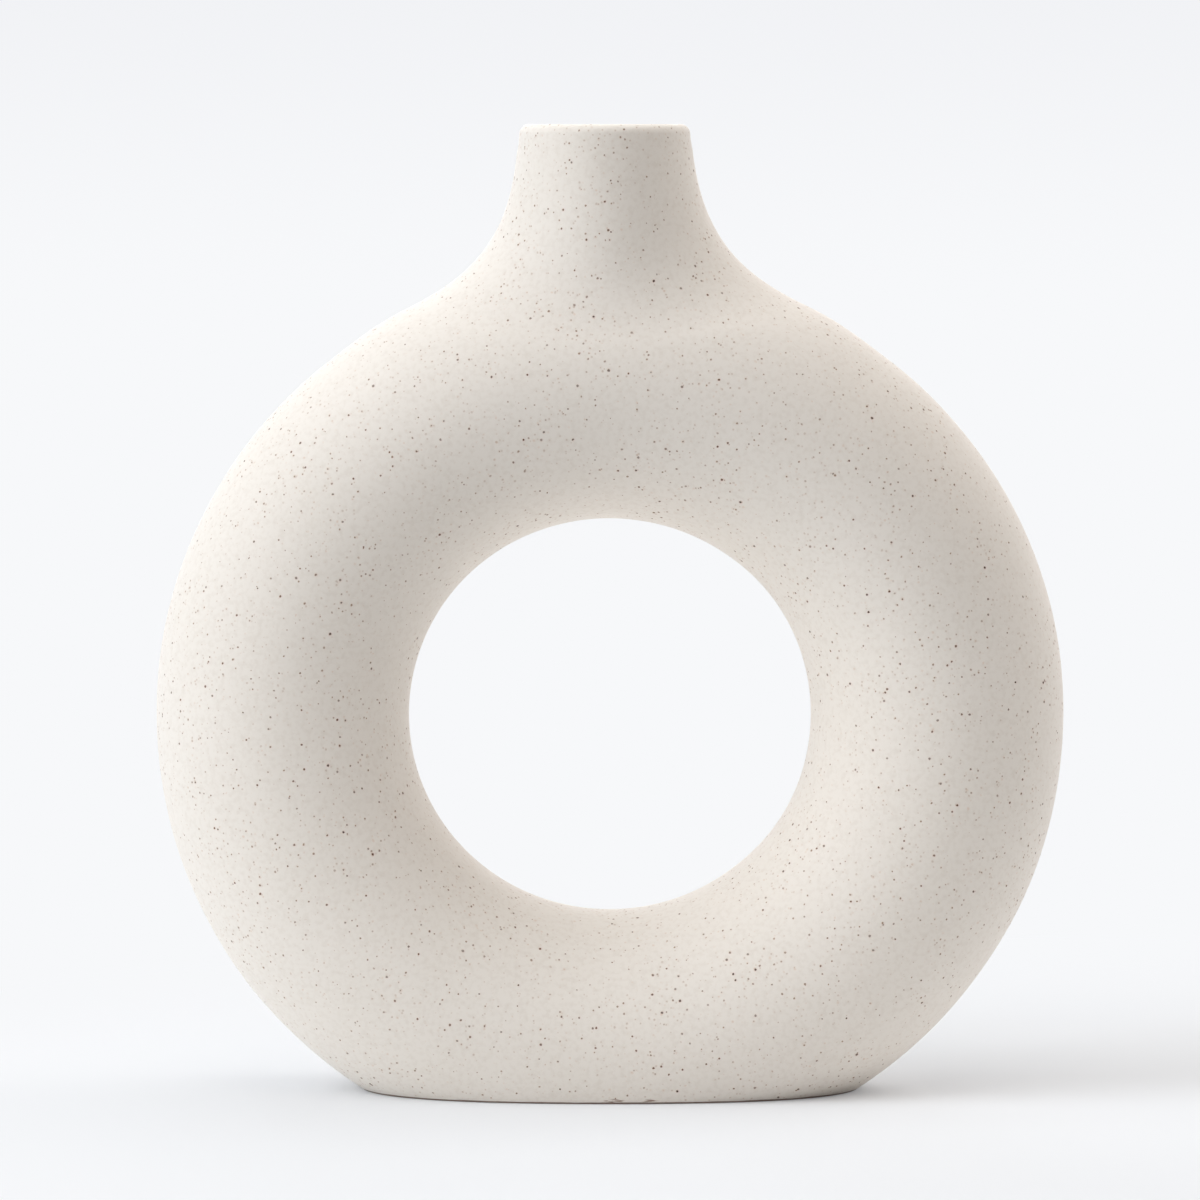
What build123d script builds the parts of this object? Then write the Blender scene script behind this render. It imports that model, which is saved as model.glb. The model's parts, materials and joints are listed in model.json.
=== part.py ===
from build123d import *
import math
import os

# Driving dimensions of a ring vase in stoneware, in millimetres and degrees

# Oval ring
ring_width = 200.0
ring_height = 198.1
tube_diameter = 55.65
wall = 5.0

# Flared neck, set by hand a little left of the ring's middle
neck_height = 30.8
neck_offset = -1.15
lip_diameter = 37.2
neck_taper = 4.0
lip_to_flare = 4.0
lip_round = 2.2
collar_height = 48.0

# Mouth for the stems
mouth_diameter = 27.0
mouth_length = 9.0
mouth_round = 1.6

# Foot slab, where the ring's lowest stretch is cut flat
foot_cut = 16.1
foot_thickness = 6.0
foot_edge_round = 1.5
foot_rim = 6.0
foot_recess = 1.2

# Glaze poured inside, and wiped back below the mouth's straight wall
glaze_thickness = 0.5
glaze_wipe = 2.0

# Levels of the ring's centre and of the lip
ring_centre_height = ring_height / 2 - foot_cut
vase_height = ring_centre_height + ring_height / 2 + neck_height

# Middle line of the tube: an oval of four quarter arcs that meet at 45 degrees
tube_radius = tube_diameter / 2
half_span = ring_width / 2 - tube_radius
half_rise = ring_height / 2 - tube_radius
arc_shift = (half_span - half_rise) / (2 - math.sqrt(2))
side_arc = half_span - arc_shift
crown_arc = half_rise + arc_shift
crown_centre = ring_centre_height - arc_shift
tube_crown = ring_centre_height + half_rise

# Levels and radii that several pieces share
neck_joint = vase_height - collar_height
flare_start = vase_height - lip_to_flare
mouth_end = vase_height - mouth_round - mouth_length
lip_radius = lip_diameter / 2
mouth_radius = mouth_diameter / 2
taper_slope = math.tan(math.radians(neck_taper))
lip_wall = lip_radius - mouth_radius

# Most of the lip's wall that its two rounds may take up together
lip_fill = 0.9

# The neck stands on the tube's crown, with its seam turned to the rear, away from the ring's own seam
seam_turn = 90
neck_place = Pos(neck_offset, 0, tube_crown) * Rot(0, 0, seam_turn)

# Boxes that cut the finished body into pieces reach past it on every side
reach = ring_width + ring_height + vase_height


def slice_between(low, high):
    """Everything between two levels."""
    block = Box(reach, reach, high - low, align=(Align.CENTER, Align.CENTER, Align.MIN))
    return Pos(0, 0, low) * block


def half_space(front):
    """Everything in front of the ring's middle plane, or behind it."""
    side = Align.MAX if front else Align.MIN
    return Box(reach, reach, reach, align=(Align.CENTER, side, Align.CENTER))


def oval_ring(inset):
    """Solid ring with its skin set in by inset: the tube's section turned through four arcs."""
    section = Circle(tube_radius - inset)
    arcs = [
        (arc_shift, 0, side_arc),
        (0, -arc_shift, crown_arc),
        (-arc_shift, 0, side_arc),
        (0, arc_shift, crown_arc),
    ]
    quarter = 360 / len(arcs)
    ring = Part()
    for index, (shift_x, shift_z, radius) in enumerate(arcs):
        start = math.radians((index - 0.5) * quarter)
        outward = Vector(math.cos(start), 0, math.sin(start))
        along = Vector(-math.sin(start), 0, math.cos(start))
        centre = Vector(shift_x, 0, ring_centre_height + shift_z)
        plane = Plane(centre + outward * radius, x_dir=outward, z_dir=-along)
        ring += revolve(plane * section, axis=Axis(centre, (0, -1, 0)), revolution_arc=quarter)
    return ring


def flare_radius(inset, neck_radius, start, taper):
    """Radius of the ball that touches the neck at the start level and rolls onto the ring's crown."""
    ring_radius = crown_arc + tube_radius - inset
    rise = start - crown_centre
    facing = neck_radius * math.cos(taper) + rise * math.sin(taper)
    return (neck_radius**2 + rise**2 - ring_radius**2) / (2 * (ring_radius - facing))


def throat_end():
    """Lowest level of the mouth's straight wall: at the ring's front and back, the flare leaves it last."""
    flare = flare_radius(wall, mouth_radius, mouth_end, 0)
    drop = (tube_radius - wall + flare) ** 2 - (mouth_radius + flare) ** 2
    return tube_crown + math.sqrt(drop)


def blend(ring, neck, radius):
    """Ring and neck as one body, with the saddle between them filled by a rolling ball."""
    body = ring + neck
    return fillet(new_edges(ring, neck, combined=body), radius)


def outer_form():
    """The vase as a solid: ring, tapered neck and flare, cut flat below with a soft foot edge."""
    length = vase_height - tube_crown
    root = lip_radius + length * taper_slope
    neck = Cone(root, lip_radius, length, align=(Align.CENTER, Align.CENTER, Align.MIN))
    neck_at_flare = lip_radius + lip_to_flare * taper_slope
    radius = flare_radius(0, neck_at_flare, flare_start, math.radians(neck_taper))
    form = blend(oval_ring(0), neck_place * neck, radius)
    form &= slice_between(0, vase_height)
    sole = form.faces().sort_by(Axis.Z)[0]
    return fillet(sole.edges(), min(foot_edge_round, foot_thickness / 2))


def inner_form(skin):
    """The hollow inside the clay, set in by a skin: ring, straight mouth and flare, flat at the floor."""
    radius = mouth_radius - skin
    mouth = Cylinder(radius, reach - tube_crown, align=(Align.CENTER, Align.CENTER, Align.MIN))
    flare = flare_radius(wall + skin, radius, mouth_end, 0)
    form = blend(oval_ring(wall + skin), neck_place * mouth, flare)
    return form & slice_between(foot_thickness + skin, reach)


def soften_lip(body):
    """Round the outer and inner edges of the lip, as far as its wall lets them."""
    share = min(1, lip_fill * lip_wall / (lip_round + mouth_round))
    outer = body.faces().sort_by(Axis.Z)[-1].edges().sort_by(SortBy.LENGTH)[-1]
    body = fillet(outer, lip_round * share)
    inner = body.faces().sort_by(Axis.Z)[-1].edges().sort_by(SortBy.LENGTH)[0]
    return fillet(inner, mouth_round * share)


def shell(body, front):
    """Half of the hollow ring, from the foot slab up to the neck."""
    return body & slice_between(foot_thickness, neck_joint) & half_space(front)


def neck_collar(body):
    """Top of the ring with the flared neck, seated on both shells."""
    return body & slice_between(neck_joint, vase_height)


def foot_base(body):
    """Slab that closes the ring below, hollowed underneath so that it stands on a rim."""
    slab = body & slice_between(0, foot_thickness)
    return slab - (oval_ring(foot_rim) & slice_between(0, foot_recess))


def glaze_lining():
    """Glaze skin on the clay from the floor up to the throat below the mouth."""
    skin = inner_form(0) - inner_form(glaze_thickness)
    return skin & slice_between(foot_thickness, throat_end() - glaze_wipe)


vase = soften_lip(outer_form() - inner_form(0))
pieces = {
    "front_shell": shell(vase, front=True),
    "rear_shell": shell(vase, front=False),
    "neck_collar": neck_collar(vase),
    "foot_base": foot_base(vase),
    "glaze_lining": glaze_lining(),
}

os.makedirs("parts", exist_ok=True)
for name, piece in pieces.items():
    piece.label = name
    export_step(piece, f"parts/{name}.step")
    print(name, round(piece.volume), piece.is_valid)
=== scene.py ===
import json
import math

import bmesh
import bpy
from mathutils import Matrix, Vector
from mathutils.interpolate import poly_3d_calc


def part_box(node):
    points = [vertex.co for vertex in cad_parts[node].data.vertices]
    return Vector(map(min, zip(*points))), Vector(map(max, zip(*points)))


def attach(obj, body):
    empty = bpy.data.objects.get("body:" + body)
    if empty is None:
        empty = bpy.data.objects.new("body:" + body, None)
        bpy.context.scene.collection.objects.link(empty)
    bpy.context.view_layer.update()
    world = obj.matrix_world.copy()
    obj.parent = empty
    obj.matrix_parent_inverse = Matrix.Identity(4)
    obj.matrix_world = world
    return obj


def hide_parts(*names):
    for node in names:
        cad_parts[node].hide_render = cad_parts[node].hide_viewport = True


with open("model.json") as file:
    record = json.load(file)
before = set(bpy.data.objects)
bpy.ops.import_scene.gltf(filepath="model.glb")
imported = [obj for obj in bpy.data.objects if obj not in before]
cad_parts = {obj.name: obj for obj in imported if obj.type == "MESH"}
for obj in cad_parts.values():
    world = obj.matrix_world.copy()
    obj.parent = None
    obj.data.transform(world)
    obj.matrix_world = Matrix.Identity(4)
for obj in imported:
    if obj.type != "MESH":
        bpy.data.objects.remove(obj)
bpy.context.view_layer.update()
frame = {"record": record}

MM = 0.001

# Levels and the mouth, as the frame gives them, in metres
foot_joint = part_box("foot_base")[1].z
neck_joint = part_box("neck_collar")[0].z
lip_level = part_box("neck_collar")[1].z
glaze_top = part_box("glaze_lining")[1].z
mouth = next(mount for mount in frame["record"]["mounts"] if mount["name"] == "mouth")
neck_x = mouth["pos_m"][0]
mouth_radius = mouth["dims"]["r_mm"] * MM

# Sizes of the potter's form
ring_width = 200.0 * MM
ring_height = 198.1 * MM
tube_radius = 27.825 * MM
wall = 5.0 * MM
foot_cut = 16.1 * MM
foot_round = 1.0 * MM
foot_rim = 6.0 * MM
foot_recess = 1.2 * MM
lip_radius = 18.6 * MM
lip_round = 2.2 * MM
lip_to_flare = 4.0 * MM
neck_taper = math.radians(4.0)
mouth_length = 9.0 * MM
mouth_round = 1.6 * MM
glaze_thickness = 0.5 * MM

# The shoulder's swell: how far it stands out, the turn of its wave up the flare, and how it fades out there
shoulder_fullness = 0.75 * MM
shoulder_wave = math.radians(324)
shoulder_fade = 0.3

# The hand's unevenness in the clay: how deep, how wide, and how far it keeps off the foot and the lip
uneven_depth = 0.3 * MM
uneven_width = 32 * MM
uneven_margin = 12 * MM

# Middle line of the tube: an oval of four quarter arcs
ring_centre = ring_height / 2 - foot_cut
half_span = ring_width / 2 - tube_radius
half_rise = ring_height / 2 - tube_radius
arc_shift = (half_span - half_rise) / (2 - math.sqrt(2))
side_arc = half_span - arc_shift
crown_arc = half_rise + arc_shift

# How finely the clay is meshed, and how close two points count as one
ring_segments = 360
tube_segments = 120
skin_steps = 10
flare_steps = 24
neck_steps = 8
round_steps = 10
hollow_steps = 4
weld = 0.001 * MM
sharp_edge = math.radians(35)

# Windows in the ring's skin where the neck and the foot are drawn out: the middle's angle round the ring,
# half its span round the ring and about the tube, and the x of the axis that it is drawn out along
neck_window = (math.radians(90), math.radians(38), math.radians(69), neck_x)
foot_window = (math.radians(-90), math.radians(38), math.radians(75), 0)


def blend(start, end, share):
    """A value or a point between two others."""
    return start + (end - start) * share


def settle(low, high, holds):
    """Halves a span until it closes on the value where a condition stops holding."""
    while high - low > weld / 100:
        middle = (low + high) / 2
        low, high = (middle, high) if holds(middle) else (low, middle)
    return low


def ring_point(around, about, radius):
    """Point on a tube, at an angle round the ring and one about the tube from its outer side."""
    across, up = math.cos(around), math.sin(around)
    if abs(across) > abs(up):
        hub, arc = Vector((math.copysign(arc_shift, across), 0, ring_centre)), side_arc
    else:
        hub, arc = Vector((0, 0, ring_centre - math.copysign(arc_shift, up))), crown_arc
    reach = arc + radius * math.cos(about)
    return hub + Vector((across * reach, radius * math.sin(about), up * reach))


def crown_hub(point):
    """Centre of the arc above or below, whichever the point lies by."""
    return Vector((0, 0, ring_centre - math.copysign(arc_shift, point.z - ring_centre)))


def ring_angles(point):
    """The two angles of ring_point for a point by the crown or by the foot."""
    spoke = point - crown_hub(point)
    return math.atan2(spoke.z, spoke.x), math.atan2(spoke.y, math.hypot(spoke.x, spoke.z) - crown_arc)


def nearest_middle(point):
    """Nearest point of the tube's middle line to a point by the crown or by the foot."""
    hub = crown_hub(point)
    spoke = Vector((point.x, 0, point.z - hub.z)).normalized()
    return hub + spoke * crown_arc


def neck_point(turn, radius, level):
    """Point at a turn round the neck's axis."""
    return Vector((neck_x + radius * math.cos(turn), radius * math.sin(turn), level))


def pick(piece):
    """Selects one piece alone and makes it the active one."""
    bpy.ops.object.select_all(action="DESELECT")
    piece.select_set(True)
    bpy.context.view_layer.objects.active = piece


def ring_skin(name, radius):
    """The tube's skin all round the ring: a torus eased into the oval of four arcs."""
    bpy.ops.object.select_all(action="DESELECT")
    bpy.ops.mesh.primitive_torus_add(
        major_segments=ring_segments,
        minor_segments=tube_segments,
        major_radius=crown_arc,
        minor_radius=radius,
        generate_uvs=False,
    )
    skin = bpy.context.object
    skin.name = name
    for vertex in skin.data.vertices:
        x, y, z = vertex.co
        vertex.co = ring_point(math.atan2(y, x), math.atan2(z, math.hypot(x, y) - crown_arc), radius)
    return skin


def cut_window(skin, window):
    """Takes a window out of the ring's skin; its rim comes back as (turn, around, about), in order."""
    middle, half_around, half_about, axis_x = window
    spare = math.radians(0.1)
    side = math.sin(middle)

    def within(point):
        around, about = ring_angles(point)
        near = (point.z - ring_centre) * side > 0
        return near and abs(around - middle) < half_around + spare and abs(about) < half_about + spare

    bpy.ops.object.mode_set(mode="EDIT")
    bpy.ops.mesh.select_all(action="DESELECT")
    for face in bmesh.from_edit_mesh(skin.data).faces:
        face.select_set(all(within(vertex.co) for vertex in face.verts))
    bpy.ops.mesh.delete(type="FACE")
    edges = bmesh.from_edit_mesh(skin.data).edges
    points = {vertex for edge in edges if edge.is_boundary for vertex in edge.verts}
    points = [vertex.co.copy() for vertex in points if within(vertex.co)]
    bpy.ops.object.mode_set(mode="OBJECT")
    return sorted((math.atan2(point.y, point.x - axis_x), *ring_angles(point)) for point in points)


def draw_wall(name, rows, close=False):
    """A wall drawn out from its first row of points by one extrusion for each further row."""
    bpy.ops.object.select_all(action="DESELECT")
    bpy.ops.mesh.primitive_circle_add(vertices=len(rows[0]), calc_uvs=False)
    drawn = bpy.context.object
    drawn.name = name
    bpy.ops.object.mode_set(mode="EDIT")
    sheet = bmesh.from_edit_mesh(drawn.data)
    column = sheet.verts.layers.int.new("column")
    for index, vertex in enumerate(sheet.verts):
        vertex[column] = index
        vertex.co = rows[0][index]
    for row in rows[1:]:
        bpy.ops.mesh.extrude_edges_move()
        sheet = bmesh.from_edit_mesh(drawn.data)
        column = sheet.verts.layers.int["column"]
        for vertex in sheet.verts:
            if vertex.select:
                vertex.co = row[vertex[column]]
    if close:
        bpy.ops.mesh.edge_face_add()
    bpy.ops.object.mode_set(mode="OBJECT")
    drawn.data.attributes.remove(drawn.data.attributes["column"])
    return drawn


def skin_rows(rim, touches, radius):
    """Rows on the ring's skin, from a window's rim to the points where the drawn wall leaves it."""
    rows = []
    for step in range(skin_steps + 1):
        share = step / skin_steps
        row = []
        for (_, around, about), touch in zip(rim, touches):
            touch_around, touch_about = ring_angles(touch)
            around = blend(around, touch_around, share)
            about = blend(about, touch_about, share)
            row.append(ring_point(around, about, radius))
        rows.append(row)
    return rows


def arc_rows(balls, radius, steps):
    """Rows over a rolling ball, from its touch on one side to its touch on the other."""
    return [
        [centre + first.slerp(last, step / steps) * radius for centre, first, last in balls]
        for step in range(1, steps + 1)
    ]


def straight_rows(start, end, steps):
    """Rows from one row of points to another."""
    return [
        [blend(first, last, step / steps) for first, last in zip(start, end)]
        for step in range(1, steps + 1)
    ]


def flare_radius(tube, neck_radius, start, taper):
    """Radius of the ball that touches the neck at the start level and rolls onto the ring's crown."""
    ring_radius = crown_arc + tube
    rise = start - ring_centre + arc_shift
    facing = neck_radius * math.cos(taper) + rise * math.sin(taper)
    return (neck_radius**2 + rise**2 - ring_radius**2) / (2 * (ring_radius - facing))


def flare_balls(rim, ball, tube, neck_radius, taper):
    """For each turn round the neck, the rolling ball's centre and the ways to ring and neck."""
    balls = []
    for turn, _, _ in rim:
        level_part = math.cos(taper)
        facing = Vector((level_part * math.cos(turn), level_part * math.sin(turn), math.sin(taper)))

        def centre_at(level):
            spread = neck_radius + (lip_level - level) * math.tan(taper) + ball / math.cos(taper)
            return neck_point(turn, spread, level)

        def sunk(level):
            centre = centre_at(level)
            return (centre - nearest_middle(centre)).length < tube + ball

        centre = centre_at(settle(ring_centre, lip_level + ball, sunk))
        balls.append((centre, (nearest_middle(centre) - centre).normalized(), -facing))
    return balls


def shoulder_swell(row):
    """How far a row stands out from the rolling ball: the shoulder is fuller, and the flare drawn in."""
    if row <= skin_steps:
        share = row / skin_steps
        return shoulder_fullness * share**2 * (3 - 2 * share)
    share = (row - skin_steps) / flare_steps
    return shoulder_fullness * math.cos(shoulder_wave * share) * (1 - share) ** shoulder_fade


def neck_rows(rim):
    """Outside of the neck: off the ring's skin, up flare and taper, over the lip's round onto its top."""
    start = lip_level - lip_to_flare
    ball = flare_radius(tube_radius, lip_radius + lip_to_flare * math.tan(neck_taper), start, neck_taper)
    balls = flare_balls(rim, ball, tube_radius, lip_radius, neck_taper)
    rows = skin_rows(rim, [centre + to_ring * ball for centre, to_ring, _ in balls], tube_radius)
    rows += arc_rows(balls, ball, flare_steps)
    for index, row in enumerate(rows):
        for column, (turn, _, _) in enumerate(rim):
            point, centre = row[column], balls[column][0]
            outwards = point - nearest_middle(point) if index <= skin_steps else centre - point
            row[column] = point + outwards.normalized() * shoulder_swell(index) * math.cos(turn) ** 2
    round_level = lip_level - lip_round
    round_radius = lip_radius + lip_round * (math.tan(neck_taper) - 1 / math.cos(neck_taper))
    for step in range(round_steps + 1):
        lean = blend(neck_taper, math.pi / 2, step / round_steps)
        radius = round_radius + lip_round * math.cos(lean)
        level = round_level + lip_round * math.sin(lean)
        row = [neck_point(turn, radius, level) for turn, _, _ in rim]
        rows += straight_rows(rows[-1], row, neck_steps if step == 0 else 1)
    return rows + [[neck_point(turn, mouth_radius + mouth_round, lip_level) for turn, _, _ in rim]]


def mouth_rows(rim, lip_row, lip_rim):
    """Inside of the neck: from the lip's top over its inner round, down the bore and out by the flare."""
    mouth_end = lip_level - mouth_round - mouth_length
    ball = flare_radius(tube_radius - wall, mouth_radius, mouth_end, 0)
    balls = flare_balls(rim, ball, tube_radius - wall, mouth_radius, 0)
    rows = [lip_row]
    for step in range(1, round_steps + 1):
        share = step / round_steps
        lean = math.pi / 2 * (1 + share)
        radius = mouth_radius + mouth_round * (1 + math.cos(lean))
        level = lip_level - mouth_round * (1 - math.sin(lean))
        turns = [blend(outer[0], inner[0], share) for outer, inner in zip(lip_rim, rim)]
        rows.append([neck_point(turn, radius, level) for turn in turns])
    rows += straight_rows(rows[-1], [centre + to_neck * ball for centre, _, to_neck in balls], neck_steps)
    rows += arc_rows([(centre, to_neck, to_ring) for centre, to_ring, to_neck in balls], ball, flare_steps)
    ring_rows = skin_rows(rim, rows[-1], tube_radius - wall)
    return rows + ring_rows[-2::-1]


def foot_rows(rim):
    """The foot: off the ring's skin, round the soft edge onto the standing rim, and into its hollow."""

    def reach_at(turn, level, radius):
        way = Vector((math.cos(turn), math.sin(turn), 0))
        rise = Vector((0, 0, level))

        def covered(reach):
            point = way * reach + rise
            return (point - nearest_middle(point)).length < radius

        return way * settle(0, ring_width / 2, covered) + rise

    balls = []
    for turn, _, _ in rim:
        centre = reach_at(turn, foot_round, tube_radius - foot_round)
        balls.append((centre, (centre - nearest_middle(centre)).normalized(), Vector((0, 0, -1))))
    rows = skin_rows(rim, [centre + to_ring * foot_round for centre, to_ring, _ in balls], tube_radius)
    rows += arc_rows(balls, foot_round, round_steps)
    rows.append([reach_at(turn, 0, tube_radius - foot_rim) for turn, _, _ in rim])
    rows.append([reach_at(turn, foot_recess, tube_radius - foot_rim) for turn, _, _ in rim])
    hollow_middle = [Vector((0, 0, foot_recess))] * len(rim)
    return rows + straight_rows(rows[-1], hollow_middle, hollow_steps)[:-1]


def join(name, *parts):
    """One mesh from several, welded where they meet, with its faces turned outwards."""
    bpy.ops.object.select_all(action="DESELECT")
    for part in parts:
        part.select_set(True)
    bpy.context.view_layer.objects.active = parts[0]
    bpy.ops.object.join()
    bpy.ops.object.mode_set(mode="EDIT")
    bpy.ops.mesh.select_all(action="SELECT")
    bpy.ops.mesh.remove_doubles(threshold=weld)
    bpy.ops.mesh.normals_make_consistent(inside=False)
    bpy.ops.object.mode_set(mode="OBJECT")
    parts[0].name = name
    return parts[0]


def work_by_hand(skin):
    """Slight unevenness that a hand leaves in the clay, fading out towards the foot and the lip."""
    worked = skin.vertex_groups.new(name="worked")
    for vertex in skin.data.vertices:
        clear = min(vertex.co.z - foot_joint, lip_level - vertex.co.z) / uneven_margin
        worked.add([vertex.index], min(max(clear, 0), 1), "REPLACE")
    clouds = bpy.data.textures.new("uneven clay", "CLOUDS")
    clouds.noise_scale = uneven_width
    clouds.noise_depth = 1
    uneven = skin.modifiers.new("uneven clay", "DISPLACE")
    uneven.texture = clouds
    uneven.texture_coords = "LOCAL"
    uneven.strength = uneven_depth
    uneven.vertex_group = worked.name
    pick(skin)
    bpy.ops.object.modifier_apply(modifier=uneven.name)
    skin.vertex_groups.clear()


def duplicate(source, name):
    """A copy with its own mesh."""
    pick(source)
    bpy.ops.object.duplicate()
    bpy.context.object.name = name
    return bpy.context.object


def cut(piece, point, keep, fill=True):
    """Cuts a piece at a plane and keeps the side that a direction points to, closed if asked."""
    pick(piece)
    bpy.ops.object.mode_set(mode="EDIT")
    bpy.ops.mesh.select_all(action="SELECT")
    bpy.ops.mesh.bisect(plane_co=point, plane_no=keep, use_fill=fill, clear_inner=True, threshold=weld / 10)
    bpy.ops.mesh.select_all(action="SELECT")
    bpy.ops.mesh.normals_make_consistent(inside=False)
    bpy.ops.object.mode_set(mode="OBJECT")


def shade(piece):
    """Smooth shading up to the edges that are really sharp."""
    pick(piece)
    bpy.ops.object.shade_smooth_by_angle(angle=sharp_edge)


def hide_seams(piece, whole, planes):
    """Gives the points on the cut planes the uncut vase's normals, so that no joint shows in the shading."""
    mesh, source = piece.data, whole.data
    normals = [corner.vector.copy() for corner in mesh.corner_normals]
    on_plane = [any(abs((v.co - point).dot(way)) < weld for point, way in planes) for v in mesh.vertices]
    for face in mesh.polygons:
        capped = all(on_plane[index] for index in face.vertices)
        for loop, index in zip(face.loop_indices, face.vertices):
            if capped:
                normals[loop] = face.normal.copy()
            elif on_plane[index]:
                _, _, _, hit = whole.closest_point_on_mesh(mesh.vertices[index].co)
                corners = [source.vertices[corner] for corner in source.polygons[hit].vertices]
                weights = poly_3d_calc([corner.co for corner in corners], mesh.vertices[index].co)
                mixed = sum((corner.normal * weight for corner, weight in zip(corners, weights)), Vector())
                normals[loop] = mixed.normalized()
    mesh.normals_split_custom_set(normals)


# Clay

outer_ring = ring_skin("outer_ring", tube_radius)
neck_rim = cut_window(outer_ring, neck_window)
foot_rim_columns = cut_window(outer_ring, foot_window)
neck_outside = neck_rows(neck_rim)
neck_wall = draw_wall("neck_wall", neck_outside)
foot_wall = draw_wall("foot_wall", foot_rows(foot_rim_columns), close=True)
outer_skin = join("outer_skin", outer_ring, neck_wall, foot_wall)
work_by_hand(outer_skin)

inner_ring = ring_skin("inner_ring", tube_radius - wall)
mouth_rim = cut_window(inner_ring, neck_window)
mouth_wall = draw_wall("mouth_wall", mouth_rows(mouth_rim, neck_outside[-1], neck_rim))
inner_skin = join("inner_skin", inner_ring, mouth_wall)

foot_slab = duplicate(outer_skin, "foot_slab")
inner_glaze = duplicate(inner_skin, "inner_glaze")
blank = join("blank", outer_skin, inner_skin)
shade(blank)

# Pieces cut from the blank where the potter lutes them together
up, down = Vector((0, 0, 1)), Vector((0, 0, -1))
front, rear = Vector((0, -1, 0)), Vector((0, 1, 0))
foot_level = Vector((0, 0, foot_joint))
neck_level = Vector((0, 0, neck_joint))
middle_plane = Vector((0, 0, 0))
cuts = {
    "front_ring_half": [(foot_level, up), (neck_level, down), (middle_plane, front)],
    "rear_ring_half": [(foot_level, up), (neck_level, down), (middle_plane, rear)],
    "neck_and_lip": [(neck_level, up)],
    "foot_slab": [(foot_level, down)],
}
stands_for = {
    "front_ring_half": "front_shell",
    "rear_ring_half": "rear_shell",
    "neck_and_lip": "neck_collar",
    "foot_slab": "foot_base",
}
clay = []
for name, planes in cuts.items():
    piece = foot_slab if name == "foot_slab" else duplicate(blank, name)
    for point, keep in planes:
        cut(piece, point, keep)
    shade(piece)
    hide_seams(piece, blank, planes)
    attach(piece, "root")
    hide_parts(stands_for[name])
    clay.append(piece)

# Glaze on the hollow's wall and floor, a skin grown inwards from the clay
cut(inner_glaze, foot_level, up)
cut(inner_glaze, Vector((0, 0, glaze_top)), down, fill=False)
bpy.ops.object.mode_set(mode="EDIT")
bpy.ops.mesh.select_all(action="SELECT")
bpy.ops.mesh.normals_make_consistent(inside=True)
bpy.ops.object.mode_set(mode="OBJECT")
skin = inner_glaze.modifiers.new("glaze skin", "SOLIDIFY")
skin.thickness = glaze_thickness
skin.offset = 1
bpy.ops.object.modifier_apply(modifier=skin.name)
shade(inner_glaze)
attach(inner_glaze, "root")
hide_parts("glaze_lining")

bpy.data.objects.remove(blank)


# Materials

def srgb(code):
    """Linear colour of an sRGB hex code."""
    parts = [int(code[index:index + 2], 16) / 255 for index in (0, 2, 4)]
    return [part / 12.92 if part <= 0.04045 else ((part + 0.055) / 1.055) ** 2.4 for part in parts] + [1]


def add_node(tree, kind, settings=None, links=None):
    """Adds a node, sets its properties and inputs, and links other nodes' outputs to its inputs."""
    node = tree.nodes.new(kind)
    for name, value in (settings or {}).items():
        if isinstance(name, int) or name in node.inputs:
            node.inputs[name].default_value = value
        else:
            setattr(node, name, value)
    for name, output in (links or {}).items():
        tree.links.new(output, node.inputs[name])
    return node


def new_material(name):
    """An empty material, and its node tree."""
    material = bpy.data.materials.new(name)
    material.use_nodes = True
    material.node_tree.nodes.clear()
    return material, material.node_tree


def per_metre(size_mm):
    """Scale of a pattern whose features are this far apart."""
    return 1 / (size_mm * MM)


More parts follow.
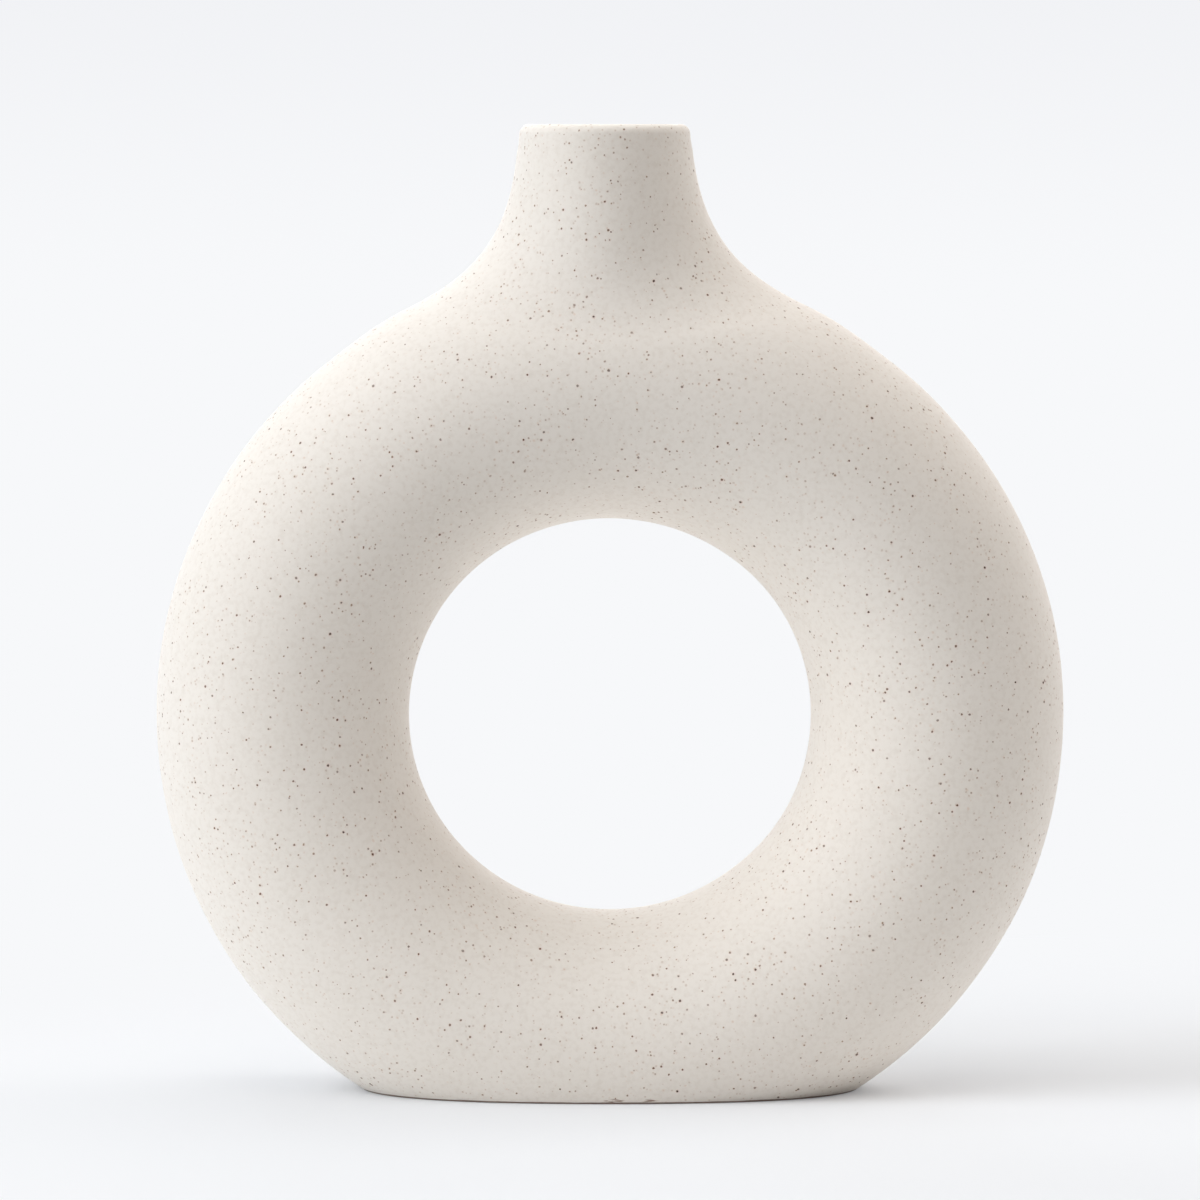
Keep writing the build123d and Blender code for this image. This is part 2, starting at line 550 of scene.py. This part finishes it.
def speckled_stoneware():
    """Stoneware under a sprayed matt glaze: an even, chalky off-white that hardly shines, with iron grains
    from the clay burnt through as brown flecks, and a fine eggshell grain where the light rakes it."""
    material, tree = new_material("stoneware, sprayed matt glaze")
    place = add_node(tree, "ShaderNodeTexCoord").outputs["Object"]

    # Tone drifts a little where the glaze lies thicker or thinner
    drift = add_node(tree, "ShaderNodeTexNoise", {"Scale": per_metre(28), "Detail": 3}, {"Vector": place})
    tone = add_node(tree, "ShaderNodeMix", {"data_type": "RGBA", 6: srgb("EFE9E1"), 7: srgb("F3EDE6")},
                    {0: drift.outputs[0]})
    # Fine dust in the matt glaze mottles it faintly
    dust = add_node(tree, "ShaderNodeTexNoise", {"Scale": per_metre(1.1), "Detail": 2}, {"Vector": place})
    mottle = add_node(tree, "ShaderNodeMapRange", {1: 0.45, 2: 0.75, 4: 0.2}, {0: dust.outputs[0]})
    colour = add_node(tree, "ShaderNodeMix", {"data_type": "RGBA", 7: srgb("CFC2B4")},
                      {0: mottle.outputs[0], 6: tone.outputs[2]}).outputs[2]

    # Flecks lie in loose crowds, and aren't quite round, so their places are nudged by a fine noise
    crowds = add_node(tree, "ShaderNodeTexNoise", {"Scale": per_metre(11), "Detail": 1}, {"Vector": place})
    crowd = add_node(tree, "ShaderNodeMapRange", {1: 0.35, 2: 0.62, 3: 0.75, 4: 1.1},
                     {0: crowds.outputs[0]}).outputs[0]
    nudge = add_node(tree, "ShaderNodeTexNoise", {"Scale": per_metre(0.45), "Detail": 1}, {"Vector": place})
    nudged = add_node(tree, "ShaderNodeVectorMath", {"operation": "MULTIPLY_ADD", 1: (0.25 * MM,) * 3},
                      {0: nudge.outputs["Color"], 2: place}).outputs[0]

    # Kinds of fleck, from dust to the coarsest grains: how many in a square centimetre, radius in mm,
    # colour and strength. The skin cuts grains of radius r, at a spacing s, 2 r / s^3 times in a square mm.
    for count, size, fleck, strength in (
        (22, 0.23, "A28C78", 0.34),
        (4.8, 0.23, "7A563B", 0.78),
        (3.6, 0.26, "5B2F12", 1.0),
        (1.8, 0.29, "3C1204", 1.0),
    ):
        spacing = (2 * size * 100 / count) ** (1 / 3)
        cells = add_node(tree, "ShaderNodeTexVoronoi", {"Scale": per_metre(spacing)}, {"Vector": nudged})
        chance = add_node(tree, "ShaderNodeSeparateColor", None, {0: cells.outputs["Color"]})
        grain = add_node(tree, "ShaderNodeMapRange", {3: 0.7 * size / spacing, 4: 1.1 * size / spacing},
                         {0: chance.outputs[0]}).outputs[0]
        radius = add_node(tree, "ShaderNodeMath", {"operation": "MULTIPLY"},
                          {0: grain, 1: crowd}).outputs[0]
        depth = add_node(tree, "ShaderNodeMapRange", {3: strength * 0.5, 4: strength},
                         {0: chance.outputs[1]}).outputs[0]
        # Rust bleeds into the glaze in a ring round the grain, which lies in the middle of it: where each
        # ends and where it is full, as shares of the grain's radius, its colour and its strength
        for reach, core, tint, most in ((1.8, 0.7, "D2A985", 0.4), (0.95, 0.8, fleck, 1.0)):
            rim = add_node(tree, "ShaderNodeMath", {"operation": "MULTIPLY", 1: reach},
                           {0: radius}).outputs[0]
            middle = add_node(tree, "ShaderNodeMath", {"operation": "MULTIPLY", 1: core},
                              {0: radius}).outputs[0]
            spot = add_node(tree, "ShaderNodeMapRange", {"interpolation_type": "SMOOTHSTEP", 4: most},
                            {0: cells.outputs["Distance"], 1: rim, 2: middle}).outputs[0]
            share = add_node(tree, "ShaderNodeMath", {"operation": "MULTIPLY"},
                             {0: spot, 1: depth}).outputs[0]
            colour = add_node(tree, "ShaderNodeMix", {"data_type": "RGBA", 7: srgb(tint)},
                              {0: share, 6: colour}).outputs[2]

    # Glaze is wiped off the foot, up to a wavering line just above the table: the bare clay is buff
    # underneath. Along the edge, from just above the table up, a dark brown band is painted: partly dirt on
    # the bare clay, partly painted shade for the dark contact line where the foot meets the table
    level = add_node(tree, "ShaderNodeSeparateXYZ", None, {0: place}).outputs[2]
    waver = add_node(tree, "ShaderNodeTexNoise", {"Scale": per_metre(6)}, {"Vector": place})
    wiped = add_node(tree, "ShaderNodeMath", {"operation": "MULTIPLY_ADD", 1: -0.3 * MM},
                     {0: waver.outputs[0], 2: level})
    raw = add_node(tree, "ShaderNodeMapRange", {1: 0.35 * MM, 2: 0.2 * MM},
                   {0: wiped.outputs[0]}).outputs[0]
    # Painted shade: this mask and the dark brown below paint the band along the foot's edge, partly dirt and
    # partly painted contact shade under the foot
    edge = add_node(tree, "ShaderNodeMapRange", {1: 0.02 * MM, 2: 0.08 * MM, 4: 0.9},
                    {0: level}).outputs[0]
    bare = add_node(tree, "ShaderNodeMix", {"data_type": "RGBA", 6: srgb("B9A088"), 7: srgb("C9B49E")},
                    {0: waver.outputs[0]}).outputs[2]
    burnt = add_node(tree, "ShaderNodeMix", {"data_type": "RGBA", 7: srgb("73523F")},
                     {0: edge, 6: bare}).outputs[2]
    body = add_node(tree, "ShaderNodeMath", {"operation": "MULTIPLY", 1: 0.85}, {0: raw}).outputs[0]
    colour = add_node(tree, "ShaderNodeMix", {"data_type": "RGBA"},
                      {0: body, 6: colour, 7: burnt}).outputs[2]

    # Two brown scuffs low on the foot's front edge, drawn out into streaks along it: how far across they
    # lie, and half their width, in mm
    drawn = add_node(tree, "ShaderNodeVectorMath", {"operation": "MULTIPLY", 1: (0.4, 0.4, 2.5)},
                     {0: place})
    streaks = add_node(tree, "ShaderNodeTexNoise", {"Scale": per_metre(0.7), "Detail": 2},
                       {"Vector": drawn.outputs[0]})
    streak = add_node(tree, "ShaderNodeMapRange", {1: 0.4, 2: 0.6}, {0: streaks.outputs[0]}).outputs[0]
    for across, half in ((1.0, 2.6), (8.7, 2.2)):
        middle = (across * MM, -25.0 * MM, 0.8 * MM)
        halves = (half * MM, 6 * MM, 0.6 * MM)
        away = add_node(tree, "ShaderNodeVectorMath", {"operation": "SUBTRACT", 1: middle},
                        {0: place}).outputs[0]
        spread = add_node(tree, "ShaderNodeVectorMath", {"operation": "DIVIDE", 1: halves},
                          {0: away}).outputs[0]
        reach = add_node(tree, "ShaderNodeVectorMath", {"operation": "LENGTH"},
                         {0: spread}).outputs["Value"]
        worn = add_node(tree, "ShaderNodeMapRange", {1: 1.0, 2: 0.5, 4: 0.75}, {0: reach}).outputs[0]
        share = add_node(tree, "ShaderNodeMath", {"operation": "MULTIPLY"}, {0: worn, 1: streak}).outputs[0]
        colour = add_node(tree, "ShaderNodeMix", {"data_type": "RGBA", 7: srgb("83583A")},
                          {0: share, 6: colour}).outputs[2]

    # Eggshell grain of the sprayed glaze
    peel = add_node(tree, "ShaderNodeTexNoise", {"Scale": per_metre(1.4), "Detail": 3}, {"Vector": place})
    skin = add_node(tree, "ShaderNodeBump", {"Strength": 0.5, "Distance": 0.05 * MM},
                    {"Height": peel.outputs[0]})
    glaze = add_node(tree, "ShaderNodeBsdfPrincipled",
                     {"Roughness": 0.7, "IOR": 1.5, "Specular IOR Level": 0.35, "Diffuse Roughness": 0.3},
                     {"Base Color": colour, "Normal": skin.outputs[0]})
    add_node(tree, "ShaderNodeOutputMaterial", None, {0: glaze.outputs[0]})
    return material


def poured_glaze():
    """Clear-white glaze poured inside: glassy, pooled a little unevenly over the clay."""
    material, tree = new_material("poured glaze, glossy")
    place = add_node(tree, "ShaderNodeTexCoord").outputs["Object"]
    pools = add_node(tree, "ShaderNodeTexNoise", {"Scale": per_metre(9), "Detail": 2}, {"Vector": place})
    tone = add_node(tree, "ShaderNodeMix", {"data_type": "RGBA", 6: srgb("E9E4DA"), 7: srgb("F1EEE7")},
                    {0: pools.outputs[0]})
    ripple = add_node(tree, "ShaderNodeBump", {"Strength": 0.4, "Distance": 0.1 * MM},
                      {"Height": pools.outputs[0]})
    glass = add_node(tree, "ShaderNodeBsdfPrincipled", {"Roughness": 0.12, "IOR": 1.5},
                     {"Base Color": tone.outputs[2], "Normal": ripple.outputs[0]})
    add_node(tree, "ShaderNodeOutputMaterial", None, {0: glass.outputs[0]})
    return material


stoneware = speckled_stoneware()
for piece in clay:
    piece.data.materials.clear()
    piece.data.materials.append(stoneware)
inner_glaze.data.materials.clear()
inner_glaze.data.materials.append(poured_glaze())


# Studio

backdrop_white = srgb("F7F8FA")
backdrop_grey = srgb("F1F2F5")

# The paper sheet under the vase: its middle, where it starts and ends to be seen as the backdrop, how much of
# the backdrop's white is seen in it near by, and where the dark studio floor starts and is reached
sheet_middle = (80 * MM, -30 * MM, 0)
fade_start, fade_end = 120 * MM, 300 * MM
near_white = 0.2
dark_start, dark_end = 420 * MM, 650 * MM
floor_width = 12

# Rise of a look, up or down from level, over which the backdrop turns from white to grey
level_look = 0.03

# Camera, fitted to the photograph: its place in metres, how far it looks down, and its lens in mm
camera_place = (-0.0022, -1.4416, 0.21308)
camera_tilt = 0.0726
camera_lens = 196.84
sensor_width = 36


def seen_rays(tree):
    """1 for rays that see the backdrop, from the camera, by a reflection or through glass; 0 for light."""
    ray = add_node(tree, "ShaderNodeLightPath")
    seen = ray.outputs["Is Camera Ray"]
    for other in ("Is Glossy Ray", "Is Transmission Ray"):
        seen = add_node(tree, "ShaderNodeMath", {"operation": "MAXIMUM"},
                        {0: seen, 1: ray.outputs[other]}).outputs[0]
    return seen


def paper_floor():
    """Matt white sheet under the vase: near by it takes the shadow, seen a little greyer than it lights the
    clay; further off it is seen as the even backdrop white, and the dark floor beyond gives no light."""
    material, tree = new_material("backdrop paper, matt")
    place = add_node(tree, "ShaderNodeTexCoord").outputs["Object"]
    reach = add_node(tree, "ShaderNodeVectorMath", {"operation": "DISTANCE", 1: sheet_middle},
                     {0: place}).outputs["Value"]
    edge = add_node(tree, "ShaderNodeMapRange", {1: dark_start, 2: dark_end}, {0: reach}).outputs[0]
    seen = seen_rays(tree)
    near = add_node(tree, "ShaderNodeMix", {"data_type": "RGBA", 6: srgb("F4F5F6"), 7: srgb("E0E2E5")},
                    {0: seen})
    sheet = add_node(tree, "ShaderNodeMix", {"data_type": "RGBA", 7: srgb("404040")},
                     {0: edge, 6: near.outputs[2]})
    paper = add_node(tree, "ShaderNodeBsdfDiffuse", None, {"Color": sheet.outputs[2]})
    far = add_node(tree, "ShaderNodeMapRange",
                   {"interpolation_type": "SMOOTHSTEP", 1: fade_start, 2: fade_end, 3: near_white},
                   {0: reach})
    share = add_node(tree, "ShaderNodeMath", {"operation": "MULTIPLY"}, {0: far.outputs[0], 1: seen})
    white = add_node(tree, "ShaderNodeEmission", {"Color": backdrop_white})
    mixed = add_node(tree, "ShaderNodeMixShader", None,
                     {0: share.outputs[0], 1: paper.outputs[0], 2: white.outputs[0]})
    add_node(tree, "ShaderNodeOutputMaterial", None, {0: mixed.outputs[0]})
    return material


def studio_air():
    """The white backdrop, a little greyer higher up, where the camera or a reflection looks past the floor.
    The lamps alone light the vase."""
    world = bpy.data.worlds.new("studio")
    bpy.context.scene.world = world
    world.use_nodes = True
    tree = world.node_tree
    tree.nodes.clear()
    way = add_node(tree, "ShaderNodeTexCoord").outputs["Generated"]
    rise = add_node(tree, "ShaderNodeSeparateXYZ", None, {0: way}).outputs[2]
    share = add_node(tree, "ShaderNodeMapRange",
                     {"interpolation_type": "SMOOTHSTEP", 1: -level_look, 2: level_look}, {0: rise})
    tone = add_node(tree, "ShaderNodeMix", {"data_type": "RGBA", 6: backdrop_white, 7: backdrop_grey},
                    {0: share.outputs[0]})
    white = add_node(tree, "ShaderNodeBackground", None,
                     {"Color": tone.outputs[2], "Strength": seen_rays(tree)})
    add_node(tree, "ShaderNodeOutputWorld", None, {0: white.outputs[0]})


def softbox(name, place, size, watts, tint):
    """A square softbox that faces the vase's middle."""
    lamp = bpy.data.lights.new(name, "AREA")
    lamp.size = size
    lamp.energy = watts
    lamp.color = srgb(tint)[:3]
    box = bpy.data.objects.new(name, lamp)
    bpy.context.scene.collection.objects.link(box)
    box.location = place
    aim = Vector((0, 0, lip_level / 2)) - place
    box.rotation_euler = aim.to_track_quat("-Z", "Y").to_euler()


bpy.ops.object.select_all(action="DESELECT")
bpy.ops.mesh.primitive_plane_add(size=floor_width)
floor = bpy.context.object
floor.name = "floor"
floor.data.materials.append(paper_floor())
studio_air()

# Softboxes by place and width in metres, watts and tint: a little cool from the left and from behind, and a
# little warm from the front and the right
softbox("key", Vector((-1.1, -0.5, 0.75)), 1.0, 10.3, "F6FBFF")
softbox("high_key", Vector((-1.0, -0.2, 1.0)), 0.9, 5.8, "F6FAFF")
softbox("top", Vector((0.0, 0.0, 1.5)), 1.2, 7.5, "FFFDF9")
softbox("top_front", Vector((0.0, -0.8, 1.3)), 1.0, 5.0, "FFF7F1")
softbox("right_fill", Vector((1.0, 0.2, 1.0)), 0.8, 4.6, "FFFCF8")
softbox("right_wall", Vector((1.1, 0.7, 0.6)), 1.6, 7.5, "FFF9F6")
softbox("back_wall", Vector((0.0, 1.0, 0.3)), 2.5, 9.7, "F8FBFF")
softbox("back_fill", Vector((0.0, 1.5, 0.6)), 1.0, 4.8, "F8FBFF")

camera = bpy.data.objects.new("camera", bpy.data.cameras.new("camera"))
bpy.context.scene.collection.objects.link(camera)
camera.location = camera_place
camera.rotation_euler = (math.pi / 2 - camera_tilt, 0, 0)
camera.data.sensor_width = sensor_width
camera.data.lens = camera_lens
bpy.context.scene.camera = camera
bpy.context.scene.view_settings.view_transform = "Standard"
